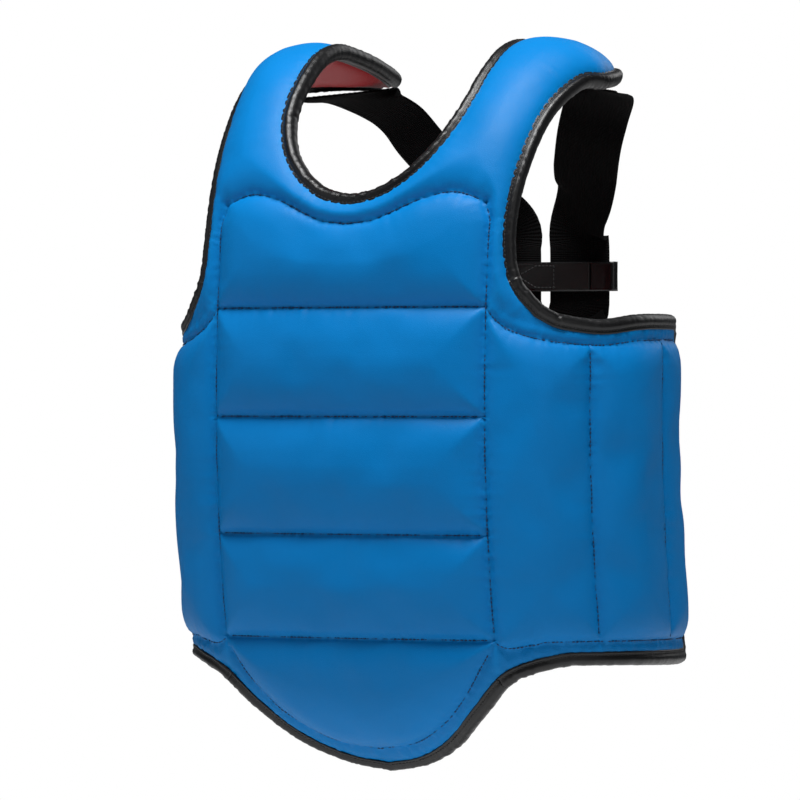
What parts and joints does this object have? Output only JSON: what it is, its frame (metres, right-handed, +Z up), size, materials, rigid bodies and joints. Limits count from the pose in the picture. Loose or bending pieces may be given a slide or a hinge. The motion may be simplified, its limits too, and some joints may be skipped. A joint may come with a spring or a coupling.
{
  "type": "martial arts chest protector",
  "caption": "Padded torso guard with stitched foam channels, side wings, an abdomen flap, bound edges and elastic back straps joined by a sleeve.",
  "frame": {"origin": "the wearer's trunk axis, at the height of the middle horizontal seam", "axes": "+X to the wearer's left, -Y to the front, +Z up"},
  "size_m": [0.3808, 0.3194, 0.5299],
  "materials": {
    "outer_leather": "blue synthetic leather, satin, fine grain",
    "lining_leather": "red synthetic leather, satin, fine grain",
    "binding_leather": "black synthetic leather edge tape, satin",
    "sleeve_leather": "black glossy synthetic leather",
    "elastic": "black ribbed woven elastic, matte",
    "foam": "closed-cell foam, matte, hidden inside",
    "hook_and_loop": "black hook-and-loop tape, matte"
  },
  "bodies": {
    "front": {"front_cover": "outer_leather", "front_lining": "lining_leather", "chest_pad_1": "foam", "chest_pad_2": "foam", "chest_pad_3": "foam", "chest_pad_4": "foam", "shoulder_pad_left": "foam", "shoulder_pad_right": "foam", "neck_binding": "binding_leather", "armhole_binding_left": "binding_leather", "armhole_binding_right": "binding_leather", "back_elastic_left": "elastic", "back_elastic_right": "elastic"},
    "abdomen_flap": {"flap_cover": "outer_leather", "flap_lining": "lining_leather", "abdomen_pad": "foam", "flap_binding": "binding_leather"},
    "wing_left": {"wing_cover_left": "outer_leather", "wing_lining_left": "lining_leather", "wing_pad_left_1": "foam", "wing_pad_left_2": "foam", "wing_pad_left_3": "foam", "wing_binding_left": "binding_leather", "loop_patch_left": "hook_and_loop"},
    "wing_right": {"wing_cover_right": "outer_leather", "wing_lining_right": "lining_leather", "wing_pad_right_1": "foam", "wing_pad_right_2": "foam", "wing_pad_right_3": "foam", "wing_binding_right": "binding_leather", "loop_patch_right": "hook_and_loop"},
    "hook_left": {"hook_tab_left": "hook_and_loop"},
    "hook_right": {"hook_tab_right": "hook_and_loop"},
    "keeper": {"keeper_sleeve": "sleeve_leather"}
  },
  "joints": [
    {"name": "flap_lift", "type": "hinge", "parent": "front", "child": "abdomen_flap", "pos_m": [0, -0.12022, -0.16654], "axis": [-1, 0, 0], "range_deg": [0, 40], "stiffness_Nm_per_rad": 0.6},
    {"name": "wing_left_open", "type": "hinge", "parent": "front", "child": "wing_left", "pos_m": [0.11209, -0.12337, 0], "axis": [0, 0, -1], "range_deg": [0, 30], "stiffness_Nm_per_rad": 1.5, "deforming": ["back_elastic_left"]},
    {"name": "wing_right_open", "type": "hinge", "parent": "front", "child": "wing_right", "pos_m": [-0.11209, -0.12337, 0], "axis": [0, 0, 1], "range_deg": [0, 30], "stiffness_Nm_per_rad": 1.5, "deforming": ["back_elastic_right"]},
    {"name": "hook_left_peel", "type": "hinge", "parent": "wing_left", "child": "hook_left", "pos_m": [0.15541, 0.05262, -0.08067], "axis": [0.0003, 0.0857, -0.9963], "range_deg": [0, 50], "stiffness_Nm_per_rad": 0.02},
    {"name": "hook_right_peel", "type": "hinge", "parent": "wing_right", "child": "hook_right", "pos_m": [-0.15541, 0.05262, -0.08067], "axis": [0.0003, -0.0857, 0.9963], "range_deg": [0, 50], "stiffness_Nm_per_rad": 0.02},
    {"name": "sleeve_slide", "type": "slide", "parent": "front", "child": "keeper", "axis": [0, 0, 1], "range_m": [-0.014, 0.014]}
  ]
}
